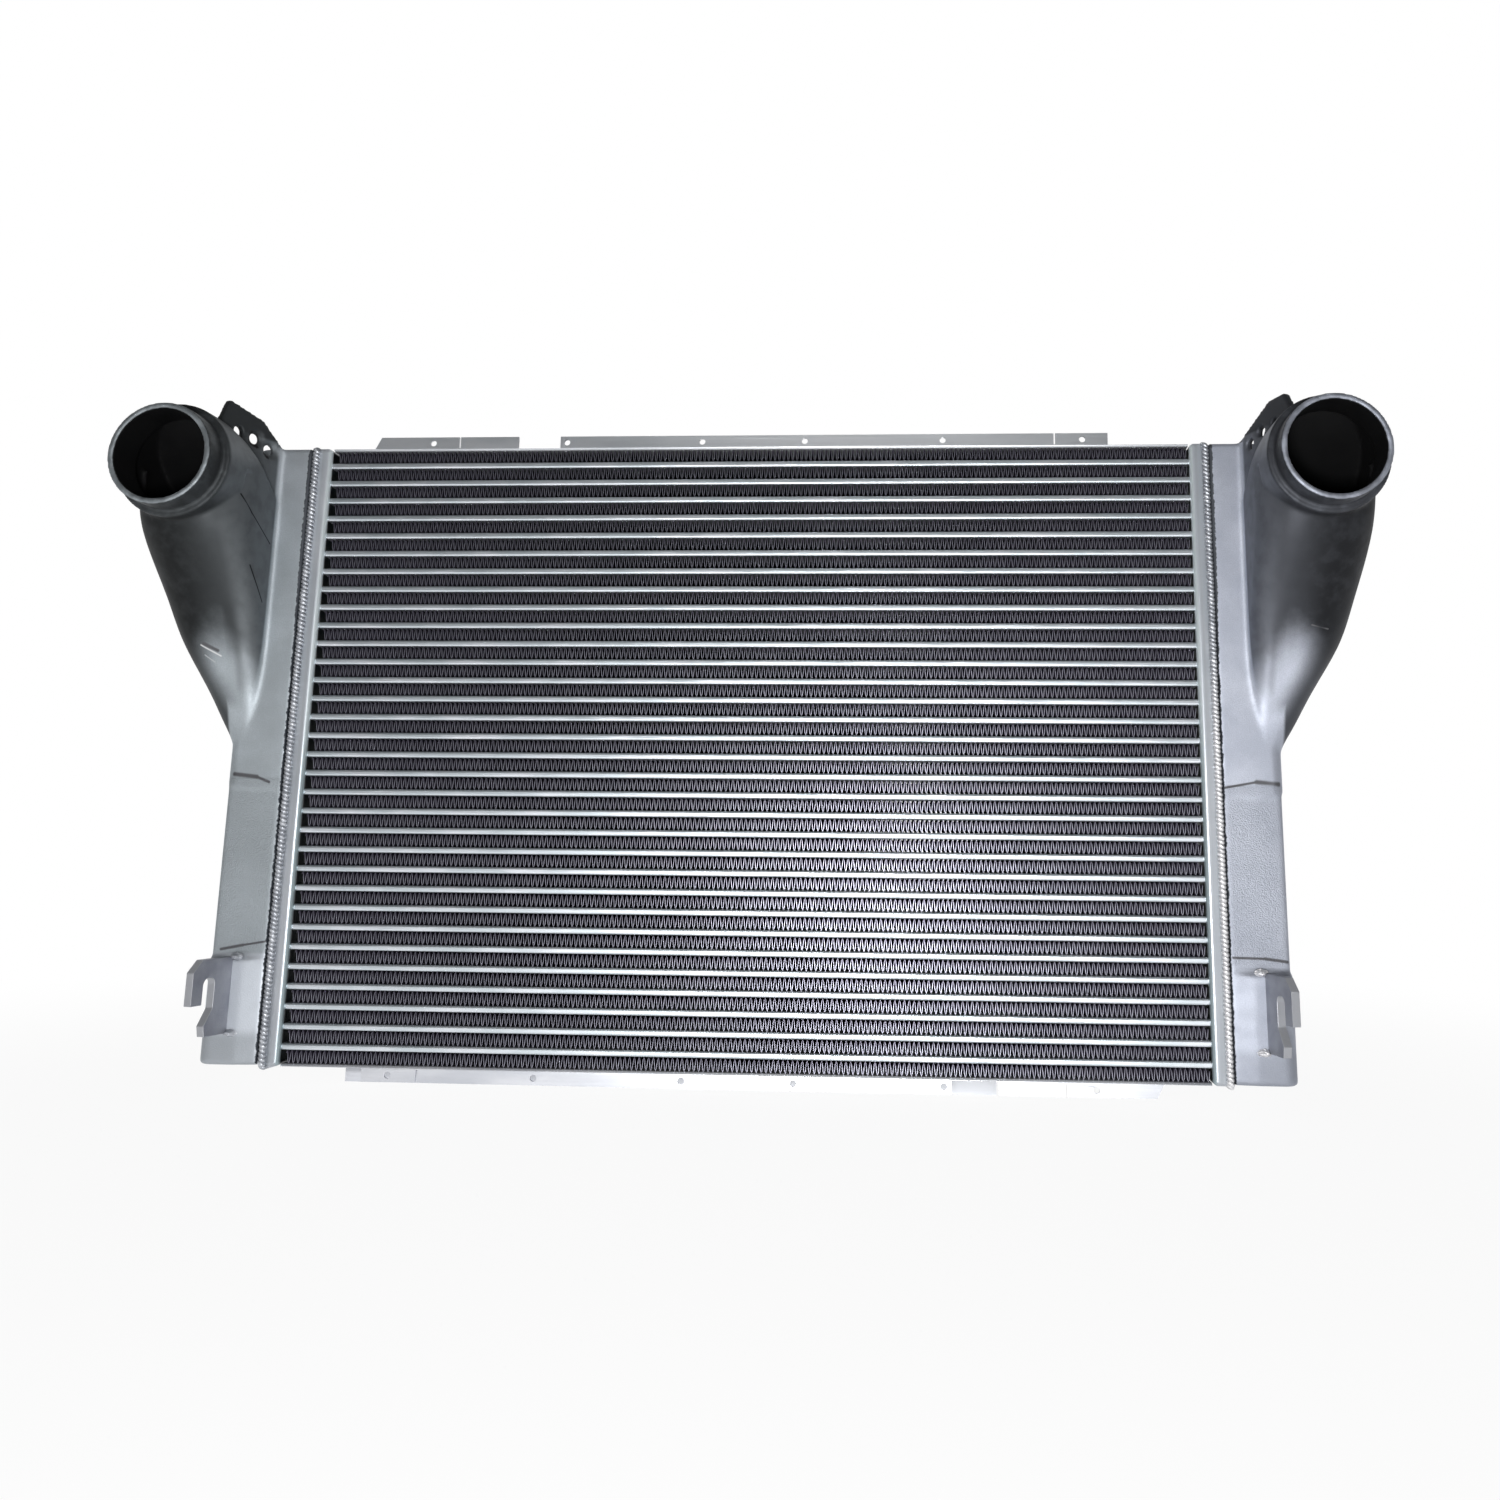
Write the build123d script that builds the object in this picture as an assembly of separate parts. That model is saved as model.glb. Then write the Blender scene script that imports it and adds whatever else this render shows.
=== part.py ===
from build123d import *
import os

# Charge air cooler of a heavy truck. Millimetres, +Z up, the ports look along -Y, and the two end
# tanks stand left (-X) and right (+X) of the core. The origin is under the middle of the whole
# unit: halfway across, halfway through its depth, and at the height of its lowest edge.
# The drawing itself is laid out round the middle of the core, and moved to the origin at the end.

# ---- core ----
core_width = 900.0            # clear width between the two header plates
tube_count = 32
tube_height = 6.35            # flat tube, outside
tube_depth = 50.8
tube_wall = 0.8
tube_nose_flats = 4           # the half-round noses are drawn with this many flats
tube_stand_out = 3.0          # how far a tube end passes the header plate
fin_height = 12.7             # one row of fins, between two tubes
fin_set_back = 1.2            # the fins lie this far behind the noses of the tubes
fin_end_gap = 2.0             # fins to header plate
turbulator_sheet = 0.6
turbulator_legs = 4
turbulator_end_gap = 4.0      # the inner corrugation stops this far inside the tube ends
fit_gap = 0.1                 # room for solder between pieces that slide together

# ---- header plates: pans folded from sheet, with a slot for each tube ----
header_sheet = 3.5
header_flange = 18.0          # length of the pan's sides, across the unit
header_overlap = 5.1          # how far the pan stands past the tubes, front and back
header_bend = 5.0             # outside radius of the folds
header_corner = 4.0           # corner radius of the pan's outline

# ---- side plates: one folded channel above the core and one below ----
plate_sheet = 2.5
plate_bend = 3.2              # outside radius of the folds
plate_end_gap = 0.3
front_flange_drop = 15.2      # from the plate's core side to the front flange's edge
upper_rear_flange_drop = 15.2
lower_rear_flange_drop = 24.0
flange_hole_radius = 3.2
flange_hole_from_edge = 6.6
flange_slit_width = 1.6
tab_corner_cut = 6.5          # slanted corner at the outer end of the short tab

# Places along the side plates, as shares of the core's width from its middle.
FLANGE_TABS = ((-0.45, -0.278), (-0.228, 0.409))    # where the front flange is left standing
REAR_FLANGE_TABS = ((-0.278, 0.45),)
FLANGE_HOLES = (-0.38, -0.22, -0.06, 0.06, 0.22, 0.38)
FLANGE_SLITS = (-0.3483, 0.3483)

# ---- end tanks: aluminium castings ----
tank_wall = 6.0
tank_width = 60.0             # from the rim to the outer side
tank_proud = 6.0              # how far the casting stands past the header pan, front and back
tank_short = 2.3              # how far it stays inside the pan's ends, top and bottom
tank_front_corner = 12.0
tank_back_corner = 8.0
tank_end_edge = 3.0           # rounding of the body's upper and lower ends
strip_width = 31.5            # flat strip on the front, from the rim to the hood
rim_depth = 8.0               # thickened rim that meets the header pan

# ---- hood: the scoop that turns the air from the port down into the tank ----
port_radius = 50.8            # outside of the spigot, for a 4 inch hose
port_wall = 5.7
port_reach = 135.0            # spigot mouth, in front of the tubes' noses
port_below_top = 41.7         # port axis, under the top of the core
spigot_length = 24.0
hood_shoulder = 6.7           # step from the spigot up to the cast hood
hood_drop = 277.0             # from the port axis down to the hood's tip
hood_setback = 6.0            # front of the hood at the port axis, behind the shoulder
hood_back_inset = 0.8         # back of the hood, inside the plane of the tank's back
collar_length = 34.0          # round part behind the shoulder, which the hood grows out of
bore_stop = 4.0               # round bore ends this far before the collar does
hood_tip_inset = 1.0          # tip of the hood, inside the faces of the tank
hood_corner_low = 0.45        # radius of the hood's corners at its tip, as a share of its width
hood_corner_inner = 48.0      # the same at the port, towards the core
hood_corner_outer = 50.0      # and away from it
crown_slope = 38.7            # degrees: the top of the hood falls away towards the back
crown_level = 16.0            # level part behind the shoulder, before it falls
crown_edge = 10.0             # rounding round that falling face

# How the scoop fills out from its tip to the port, as (height, sideways, forwards), each as a
# share of the way from the tip's own section to the port's.
HOOD_STATIONS = ((0.0, 0.0, 0.0), (0.1, 0.16, 0.02), (0.2, 0.34, 0.08), (0.3, 0.53, 0.165),
                 (0.42, 0.74, 0.275), (0.54, 0.85, 0.43), (0.66, 0.92, 0.66), (0.74, 0.95, 0.83),
                 (0.8, 0.965, 0.93), (0.87, 0.98, 0.985), (0.94, 0.995, 1.0), (1.0, 1.0, 1.0))

# ---- lower body of the tank ----
panel_top = 34.0              # recessed panel, below the hood's tip
panel_height = 170.0
panel_depth = 2.6             # at the outer side; it runs out to nothing at the rim
panel_end_radius = 190.0      # the arcs that end the panel
pad_thickness = 3.0           # pad under the bracket, proud of the tank's front
pad_ramp = 22.0               # from the rim to where the pad has its full thickness

# ---- ears: flat lugs on top of the hoods, one outline for each side ----
ear_thickness = 8.0
ear_lean = 22.8               # degrees that the lug turns outwards, going forwards
ear_foot_depth = 60.0         # how far the lug reaches down into the casting
ear_foot_run = 6.0            # how much nearer its rear edge comes to the front down there
ear_hole_radius = 5.5
ear_spot_radius = 9.5         # spot faces round the two rear holes of the left ear
ear_spot_depth = 3.0
# (distance in front of the strip's face, height above the tank's top)
LEFT_EAR_TOP = ((0.0, 0.0), (27.0, 22.7), (68.0, 33.0), (77.0, 8.0), (74.0, -8.0))
RIGHT_EAR_TOP = ((-4.0, 0.0), (47.0, 28.5), (70.0, 30.0), (80.0, 12.0), (76.0, -8.0))
EAR_HOLES = ((55.0, 3.5), (33.5, 1.7), (15.5, -5.8))

# ---- lower brackets: hooks of plate, open below, that drop over a stud ----
bracket_thickness = 8.0
bracket_height = 72.0
bracket_reach = 51.0          # from the pad
bracket_above_end = 30.0      # bracket's lower edge, above the tank's lower end
bracket_turn = 11.3           # degrees outwards, as seen from above
bracket_from_rim = 31.5       # its inner face, at the tank
bracket_nose_cut = 11.0       # slanted corner at the top
slot_radius = 7.5
slot_from_pad = 29.4          # middle of the slot
slot_top_drop = 17.0          # from the bracket's upper edge to the top of the slot
lobe_drop = 42.0              # from the bracket's upper edge to the end of the outer lobe
ramp_start_drop = 46.0        # where the slot's inner side begins to slope
ramp_end_drop = 62.0
ramp_width = 10.0
ramp_foot_width = 8.0
bracket_weld_size = 15.0      # a weld's footprint on the pad, at each end of the bracket
bracket_weld_taper = 38.0     # degrees, from its foot to its blunt top
bracket_weld_height = 5.5
bracket_weld_offset = 3.5     # middle of a weld, inwards from the bracket's face

# ---- weld beads between the tanks and the header pans ----
bead_leg = 8.0                # along the header
bead_height = 5.0             # front and back
bead_end_height = 2.4         # top and bottom
bead_end_lap = 4.5            # how far it laps onto the tank, top and bottom

# How a bead swells from its toe to the tank, as shares of its leg and of its height.
BEAD_SWELL = ((0.0, 0.25), (0.4, 0.85), (1.0, 1.0))

# ---- worked out from the values above ----
tube_pitch = tube_height + fin_height
core_height = tube_count * tube_height + (tube_count + 1) * fin_height
tube_front = -tube_depth / 2
header_x = core_width / 2
header_depth = tube_depth + 2 * header_overlap
header_height = core_height + 2 * plate_sheet
tube_length = core_width + 2 * (header_sheet + tube_stand_out)
rim_x = header_x + header_flange
tank_front = -header_depth / 2 - tank_proud
tank_back = -tank_front
pad_front = tank_front - pad_thickness
tank_top = header_height / 2 - tank_short
tank_side = rim_x + tank_width
hood_radius = port_radius + hood_shoulder
hood_inner_x = rim_x + strip_width
port_x = hood_inner_x + hood_radius
port_z = core_height / 2 - port_below_top
port_mouth = tube_front - port_reach
shoulder_front = port_mouth + spigot_length
bore_radius = port_radius - port_wall
hood_tip = port_z - hood_drop
lowest_edge = core_height / 2 + lower_rear_flange_drop
to_origin = Pos(0, -(port_mouth + tank_back) / 2, lowest_edge)


def tube_height_at(number):
    """Middle height of a tube, counted from the top."""
    return core_height / 2 - fin_height - tube_height / 2 - number * tube_pitch


def flat_tube_outline(grow=0.0):
    """Section of a flat tube, seen along its length: two flat sides and two round noses."""
    centre = Vector((tube_depth - tube_height) / 2, 0)
    turn = 180 / tube_nose_flats
    spoke = Vector(0, -tube_height / 2 - grow)
    nose = [centre + spoke.rotate(Axis.Z, n * turn) for n in range(tube_nose_flats + 1)]
    other_nose = [-point for point in nose]
    return Plane.YZ * make_face(Polyline(*nose, *other_nose, close=True))


def flat_tube():
    """One flat tube with round noses, open at both ends."""
    outside = extrude(flat_tube_outline(), tube_length / 2, both=True)
    return outside - extrude(flat_tube_outline(-tube_wall), tube_length / 2, both=True)


def turbulator():
    """Corrugated strip inside a tube, its folds running along the tube."""
    half_width = (tube_depth - tube_height) / 2
    fold = tube_height / 2 - tube_wall - fit_gap
    step = 2 * half_width / turbulator_legs
    lower, upper = [], []
    for n in range(turbulator_legs + 1):
        place = -half_width + n * step
        crest = fold - turbulator_sheet
        upper.append((place, fold if n % 2 else -crest))
        lower.append((place, crest if n % 2 else -fold))
    outline = make_face(Polyline(*upper, *reversed(lower), close=True))
    length = tube_length - 2 * turbulator_end_gap
    return extrude(Plane.YZ * outline, length / 2, both=True)


def fin_row():
    """One row of air fins, as the block that the corrugated strip fills."""
    return Box(core_width - 2 * fin_end_gap, tube_depth - 2 * fin_set_back, fin_height)


def header_outline(grow_depth=0.0, grow_height=0.0, corner=header_corner):
    """Outline of the header pan, seen along the unit's width."""
    return Plane.YZ * RectangleRounded(header_depth + 2 * grow_depth,
                                       header_height + 2 * grow_height, corner)


def header_plate():
    """Header pan of the right side: folded sides, open to the tank, slotted for the tubes."""
    pan = Pos(header_x, 0, 0) * extrude(header_outline(), header_flange)
    folds = pan.faces().sort_by(Axis.X)[0].edges()
    pan = fillet(folds, header_bend)
    pan -= Pos(header_x + header_sheet, 0, 0) * Box(
        header_flange, header_depth - 2 * header_sheet, header_height - 2 * header_sheet,
        align=(Align.MIN, Align.CENTER, Align.CENTER))
    slot = extrude(flat_tube_outline(fit_gap), 2 * header_sheet, both=True)
    slots = [Pos(header_x, 0, tube_height_at(n)) * slot for n in range(tube_count)]
    return pan - slots


def side_plate(rear_flange_drop):
    """Channel on top of the core, open upwards, with its flanges cut to tabs."""
    length = core_width - 2 * plate_end_gap
    depth = tube_depth
    taller = max(front_flange_drop, rear_flange_drop)
    channel = Box(length, depth, taller, align=(Align.CENTER, Align.CENTER, Align.MIN))
    channel = fillet(channel.faces().sort_by(Axis.Z)[0].edges().filter_by(Axis.X), plate_bend)
    channel -= Pos(0, 0, plate_sheet) * Box(
        length, depth - 2 * plate_sheet, taller, align=(Align.CENTER, Align.CENTER, Align.MIN))
    channel -= flange_trim(-depth / 2, FLANGE_TABS, front_flange_drop, taller)
    channel -= flange_trim(depth / 2, REAR_FLANGE_TABS, rear_flange_drop, taller)
    return channel - front_flange_cuts(-depth / 2)


def flange_trim(face, tabs, drop, taller):
    """What is cut off a flange: all of it between the tabs, and what stands above them."""
    room = 2 * plate_bend
    ends = [share * core_width for tab in tabs for share in tab]
    stops = [-core_width / 2] + ends + [core_width / 2]
    cuts = []
    for start, end in zip(stops[0::2], stops[1::2]):
        cuts.append(Pos((start + end) / 2, face, plate_sheet + taller / 2)
                    * Box(end - start, room, taller))
    if taller > drop:
        cuts.append(Pos(0, face, drop + taller / 2) * Box(core_width, room, taller))
    return cuts


def front_flange_cuts(face):
    """Holes, slits and the slanted corner of the front flange."""
    hole = Rot(90, 0, 0) * Cylinder(flange_hole_radius, 4 * plate_sheet)
    slit_height = front_flange_drop - plate_bend
    slit = Box(flange_slit_width, 4 * plate_sheet, slit_height,
               align=(Align.CENTER, Align.CENTER, Align.MIN))
    hole_z = front_flange_drop - flange_hole_from_edge
    cuts = [Pos(share * core_width, face, hole_z) * hole for share in FLANGE_HOLES]
    cuts += [Pos(share * core_width, face, plate_bend) * slit for share in FLANGE_SLITS]
    corner = Polyline((0, 0), (tab_corner_cut, 0), (0, -2 * tab_corner_cut), close=True)
    wedge = extrude(Plane.XZ * make_face(corner), 2 * plate_sheet, both=True)
    cuts.append(Pos(FLANGE_TABS[0][0] * core_width, face, front_flange_drop) * wedge)
    return cuts


def hood_section(station, inset):
    """Level section through the scoop at one station, drawn in by inset all round."""
    height, sideways, forwards = station
    tip_side = tank_side - hood_tip_inset
    side = tip_side + sideways * (port_x + hood_radius - tip_side) - inset
    tip_front = tank_front + hood_tip_inset
    front = tip_front + forwards * (shoulder_front + hood_setback - tip_front) + inset
    inner = hood_inner_x + inset
    back = tank_back - hood_back_inset - inset
    low_radius = hood_corner_low * (tip_side - hood_inner_x)
    inner_radius = low_radius + forwards * (hood_corner_inner - low_radius) - inset
    outer_radius = low_radius + sideways * (hood_corner_outer - low_radius) - inset
    back_radius = tank_back_corner - inset
    corners = ((inner, front), (side, front), (side, back), (inner, back))
    outline = FilletPolyline(*corners, close=True,
                             radius=(inner_radius, outer_radius, back_radius, back_radius))
    return Pos(0, 0, hood_tip + height * hood_drop) * make_face(outline)


def along_port(radius, start, length):
    """Cylinder on the port's axis, from start towards the back."""
    return Pos(port_x, start, port_z) * Rot(-90, 0, 0) * Cylinder(
        radius, length, align=(Align.CENTER, Align.CENTER, Align.MIN))


def above_crown(inset):
    """All the space over the plane in which the hood's top falls away to the back."""
    start = shoulder_front + crown_level
    plane = Pos(port_x, start, port_z + hood_radius) * Rot(-crown_slope, 0, 0)
    reach = 6 * hood_radius
    return plane * Pos(0, 0, -inset) * Box(
        reach, 2 * reach, reach, align=(Align.CENTER, Align.CENTER, Align.MIN))


def scoop(inset):
    """The hood: lofted from its tip on the tank up to the port's axis, with a barrel-shaped top."""
    start = shoulder_front + (hood_setback + 1.5 * inset if inset else 0.0)
    end = tank_back - hood_back_inset - inset
    barrel = along_port(hood_radius - inset, start, end - start)
    under = Pos(port_x, shoulder_front + collar_length, port_z) * Box(
        4 * hood_radius, 4 * port_reach, 2 * hood_radius,
        align=(Align.CENTER, Align.MIN, Align.MAX))
    sections = [hood_section(station, inset) for station in HOOD_STATIONS]
    hood = loft(sections) + (barrel - under) - above_crown(inset)
    if inset:
        return hood
    falling = hood.faces().filter_by(GeomType.PLANE).filter_by(
        lambda face: 0.1 < face.normal_at().Z < 0.9)
    return fillet(falling.edges(), crown_edge)


def tank_outline(proud):
    """Level section of the tank's body, with its front standing proud beyond a ramp."""
    ramp_end = (rim_x + pad_ramp, tank_front - proud)
    corners = [(rim_x, tank_front), ramp_end, (tank_side, tank_front - proud),
               (tank_side, tank_back), (rim_x, tank_back)]
    radii = [0, 0, tank_front_corner, tank_back_corner, 0]
    if not proud:
        corners.remove(ramp_end)
        radii.pop(1)
    return make_face(FilletPolyline(*corners, close=True, radius=radii))


def tank_body():
    """Body of the tank, with the pad for the bracket at its lower end."""
    pad_height = hood_tip - panel_top - panel_height + tank_top
    body = Pos(0, 0, -tank_top) * (extrude(tank_outline(0.0), 2 * tank_top)
                                   + extrude(tank_outline(pad_thickness), pad_height))
    end_edges = [edge for end in (0, -1) for edge in body.faces().sort_by(Axis.Z)[end].edges()
                 if edge.center().X > rim_x + tank_end_edge]
    return fillet(end_edges, tank_end_edge)


def tank_cavity():
    """Air space of the tank's body, wide enough at the rim to clear the header pan's mouth."""
    room = Pos(rim_x, 0, 0) * extrude(
        header_outline(-header_sheet, -tank_short - tank_wall), tank_width - tank_wall)
    wide = Pos(rim_x + rim_depth, 0, 0) * extrude(
        header_outline(tank_proud - tank_wall, -tank_short - tank_wall),
        tank_width - tank_wall - rim_depth)
    return room + wide


def panel_recess():
    """Shallow tapered cut on the front and outer side of the tank, ended by two arcs."""
    top = hood_tip - panel_top
    low = top - panel_height
    middle = (top + low) / 2
    inner = rim_x
    outer = tank_side + panel_depth
    half = panel_height / 2
    shape = make_face([
        Line((inner, middle - half + panel_depth), (inner, middle + half - panel_depth)),
        RadiusArc((inner, middle + half - panel_depth), (outer, middle + half), -panel_end_radius),
        Line((outer, middle + half), (outer, middle - half)),
        RadiusArc((outer, middle - half), (inner, middle - half + panel_depth), -panel_end_radius),
    ])
    reach = 2 * tank_width
    slab = Pos(0, tank_front, 0) * extrude(Plane.XZ * shape, reach, both=True)
    keep_out = Polyline((inner, 0), (tank_side - panel_depth, panel_depth),
                        (tank_side - panel_depth, reach), (inner, reach), close=True)
    kept = Pos(0, tank_front, low) * extrude(make_face(keep_out), panel_height)
    return slab - kept


def ear(top_outline):
    """Lug that rises from the inner wall of the hood, in a plane that leans outwards."""
    points = list(top_outline)
    points.append((points[-1][0] - ear_foot_run, -ear_foot_depth))
    points.append((points[0][0], -ear_foot_depth))
    outline = make_face(Polyline(*points, close=True))
    return ear_plane() * extrude(outline, -ear_thickness)


def ear_plane():
    """Plane of the lug's inner face: x goes forwards, y up, and z towards the core."""
    return leaning_plane((hood_inner_x, tank_front, tank_top), ear_lean)


def leaning_plane(origin, lean):
    """Upright plane that faces the core; going forwards it leans outwards by that many degrees."""
    forwards = Vector(0, -1, 0).rotate(Axis.Z, lean)
    to_core = Vector(-1, 0, 0).rotate(Axis.Z, lean)
    return Plane(origin=origin, x_dir=forwards, z_dir=to_core)


def ear_holes(spot_faced):
    cuts = []
    for number, place in enumerate(EAR_HOLES):
        on_face = ear_plane() * Pos(place[0], place[1], 0)
        cuts.append(on_face * Cylinder(ear_hole_radius, 3 * ear_thickness))
        if spot_faced and number > 0:
            cuts.append(on_face * Cylinder(ear_spot_radius, 2 * ear_spot_depth))
    return cuts


def end_tank(ear_outline, spot_faced):
    """Right-hand casting: body, hood, spigot and ear in one piece, with its air space."""
    tank = tank_body() - panel_recess() + scoop(0.0) + ear(ear_outline)
    tank += along_port(port_radius, port_mouth, spigot_length + hood_setback)
    tank -= tank_cavity()
    tank -= scoop(tank_wall)
    bore = along_port(bore_radius, port_mouth, spigot_length + collar_length - bore_stop)
    tank -= bore - above_crown(tank_wall)
    return tank - ear_holes(spot_faced)


def lower_bracket():
    """Hook of thick plate on the pad of the right tank, its base cut to lie flat on the pad."""
    foot = -bracket_thickness / 2
    upper = bracket_height
    slot_end = upper - slot_top_drop - slot_radius
    outline = make_face([
        Polyline((foot, 0), (foot, upper), (bracket_reach - bracket_nose_cut, upper),
                 (bracket_reach, upper - bracket_nose_cut), (bracket_reach, upper - lobe_drop),
                 (slot_from_pad + slot_radius, upper - lobe_drop),
                 (slot_from_pad + slot_radius, slot_end)),
        RadiusArc((slot_from_pad + slot_radius, slot_end),
                  (slot_from_pad - slot_radius, slot_end), -slot_radius),
        Polyline((slot_from_pad - slot_radius, slot_end),
                 (slot_from_pad - slot_radius, upper - ramp_start_drop),
                 (slot_from_pad - slot_radius + ramp_width, upper - ramp_end_drop),
                 (slot_from_pad - slot_radius + ramp_foot_width, 0), (foot, 0)),
    ])
    plate = bracket_plane() * extrude(outline, -bracket_thickness)
    behind_pad = Pos(rim_x, pad_front, -tank_top) * Box(
        2 * tank_width, tank_width, tank_top, align=(Align.MIN, Align.MIN, Align.MIN))
    return plate - behind_pad


def bracket_plane():
    """Plane of the bracket's inner face: x goes forwards from the pad, y up, z to the core."""
    foot = (rim_x + bracket_from_rim, pad_front, -tank_top + bracket_above_end)
    return leaning_plane(foot, bracket_turn)


def bracket_welds(bracket):
    """The two lumps of weld that hold a bracket, one round each end of its base."""
    lumps = []
    for height in (0.0, bracket_height):
        corner = bracket_plane() * Pos(0, height, 0)
        middle = (corner.position.X - bracket_weld_offset, pad_front, corner.position.Z)
        on_pad = Plane(origin=middle, x_dir=(1, 0, 0), z_dir=(0, -1, 0))
        foot = on_pad * RegularPolygon(bracket_weld_size / 2, 8)
        lump = extrude(foot, bracket_weld_height, taper=bracket_weld_taper)
        lumps.append((lump - bracket).solids().sort_by(SortBy.VOLUME)[-1])
    return Compound(children=lumps)


def tank_weld():
    """Bead of weld all round the joint of the right tank and its header pan."""
    swell = [Pos(rim_x - bead_leg + along * bead_leg, 0, 0)
             * header_outline(high * bead_height, high * bead_end_height)
             for along, high in BEAD_SWELL]
    bead = loft(swell, ruled=True)
    lap_depth = header_depth - 2 * header_corner
    for end in (-1, 1):
        lap = Box(bead_end_lap, lap_depth, tank_short + bead_end_height,
                  align=(Align.MIN, Align.CENTER, Align.MIN if end > 0 else Align.MAX))
        bead += Pos(rim_x, 0, end * tank_top) * chamfer(
            lap.edges().filter_by(Axis.Y).group_by(Axis.X)[-1].sort_by(Axis.Z)[-1 if end > 0 else 0],
            bead_end_height)
    return bead - Pos(header_x, 0, 0) * extrude(header_outline(), header_flange)


def both_sides(nodes, name, right, left=None):
    """Adds a right-hand piece and its mirror image, or the mirror image of another piece."""
    nodes[f"right_{name}"] = right
    nodes[f"left_{name}"] = mirror(left or right, Plane.YZ)


def all_nodes():
    nodes = {}
    for number in range(tube_count):
        nodes[f"tube_{number + 1:02d}"] = Pos(0, 0, tube_height_at(number)) * flat_tube()
    half_step = tube_pitch / 2
    nodes["fin_rows"] = Compound(children=[
        Pos(0, 0, tube_height_at(n) - half_step) * fin_row() for n in range(-1, tube_count)])
    nodes["turbulators"] = Compound(children=[
        Pos(0, 0, tube_height_at(n)) * turbulator() for n in range(tube_count)])
    nodes["top_side_plate"] = Pos(0, 0, core_height / 2) * side_plate(upper_rear_flange_drop)
    nodes["bottom_side_plate"] = Pos(0, 0, -core_height / 2) * Rot(0, 180, 0) * side_plate(
        lower_rear_flange_drop)
    bracket = lower_bracket()
    both_sides(nodes, "header_plate", header_plate())
    both_sides(nodes, "tank", end_tank(RIGHT_EAR_TOP, False), end_tank(LEFT_EAR_TOP, True))
    both_sides(nodes, "tank_weld", tank_weld())
    both_sides(nodes, "lower_bracket", bracket)
    both_sides(nodes, "bracket_welds", bracket_welds(bracket))
    return nodes


if __name__ == "__main__":
    os.makedirs("parts", exist_ok=True)
    for name, shape in all_nodes().items():
        export_step(to_origin * shape, f"parts/{name}.step")
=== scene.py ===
"""Charge air cooler of a heavy truck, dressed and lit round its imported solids.

Metres, +Z up, the tubes along X, the ports towards -Y.
"""

import math

import bmesh
import bpy
import numpy as np
from mathutils import Matrix, Vector, noise
from mathutils.bvhtree import BVHTree


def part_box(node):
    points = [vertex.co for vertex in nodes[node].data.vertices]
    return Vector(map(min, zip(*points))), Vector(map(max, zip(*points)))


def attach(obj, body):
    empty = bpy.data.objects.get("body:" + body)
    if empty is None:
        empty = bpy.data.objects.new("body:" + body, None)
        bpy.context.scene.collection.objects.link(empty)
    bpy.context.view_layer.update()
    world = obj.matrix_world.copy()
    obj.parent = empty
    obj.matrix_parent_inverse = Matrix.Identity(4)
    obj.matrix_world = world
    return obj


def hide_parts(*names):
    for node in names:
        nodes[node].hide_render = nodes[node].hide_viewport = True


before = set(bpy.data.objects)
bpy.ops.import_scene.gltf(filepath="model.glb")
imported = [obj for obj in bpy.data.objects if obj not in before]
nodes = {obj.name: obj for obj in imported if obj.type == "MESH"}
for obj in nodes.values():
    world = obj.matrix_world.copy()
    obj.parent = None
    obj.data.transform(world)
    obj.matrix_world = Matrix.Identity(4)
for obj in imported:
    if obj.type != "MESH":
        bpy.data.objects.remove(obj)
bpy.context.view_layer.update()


# ---- flat tubes and the strips inside them ----
# Thirty-two tubes of thin aluminium sheet carry the charge air across the core. Each is drawn flat
# with round noses and brazed into both header plates, and a folded strip lies inside it.

class Value:
    """One output of a node, which can be added, multiplied and so on."""

    def __init__(self, work, socket):
        self.work = work
        self.socket = socket

    def _maths(self, operation, *values):
        return self.work.node("ShaderNodeMath", {"operation": operation}, dict(enumerate(values)))

    def __add__(self, other):
        return self._maths("ADD", self, other)

    __radd__ = __add__

    def __sub__(self, other):
        return self._maths("SUBTRACT", self, other)

    def __rsub__(self, other):
        return self._maths("SUBTRACT", other, self)

    def __mul__(self, other):
        return self._maths("MULTIPLY", self, other)

    __rmul__ = __mul__

    def __truediv__(self, other):
        return self._maths("DIVIDE", self, other)

    def __abs__(self):
        return self._maths("ABSOLUTE", self)

    def sine(self):
        return self._maths("SINE", self)

    def nearest_whole(self):
        return self._maths("ROUND", self)

    def fraction(self):
        return self._maths("FRACT", self)

    def lesser(self, other):
        return self._maths("MINIMUM", self, other)

    def greater(self, other):
        return self._maths("MAXIMUM", self, other)

    def part(self, axis):
        """One coordinate of a place."""
        return self.work.node("ShaderNodeSeparateXYZ", {}, {0: self}, output=axis)

    def between(self, low, high):
        """0 below low, 1 above high, and a smooth rise in between."""
        return self.work.node("ShaderNodeMapRange", {"interpolation_type": "SMOOTHSTEP"},
                              {"Value": self, "From Min": low, "From Max": high})


class NodeWork:
    """A node tree that is filled by one method."""

    def __init__(self, tree):
        self.tree = tree

    def node(self, kind, settings, sockets, output=0):
        made = self.tree.nodes.new(kind)
        for key, setting in settings.items():
            setattr(made, key, setting)
        for key, value in sockets.items():
            self.feed(made.inputs[key], value)
        return Value(self, made.outputs[output])

    def feed(self, socket, value):
        """Links a value to a socket, or sets the socket to a plain number, colour or name."""
        if isinstance(value, Value):
            self.tree.links.new(value.socket, socket)
        elif socket.type == "RGBA" and len(value) == 3:
            socket.default_value = (*value, 1.0)
        else:
            socket.default_value = value


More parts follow.
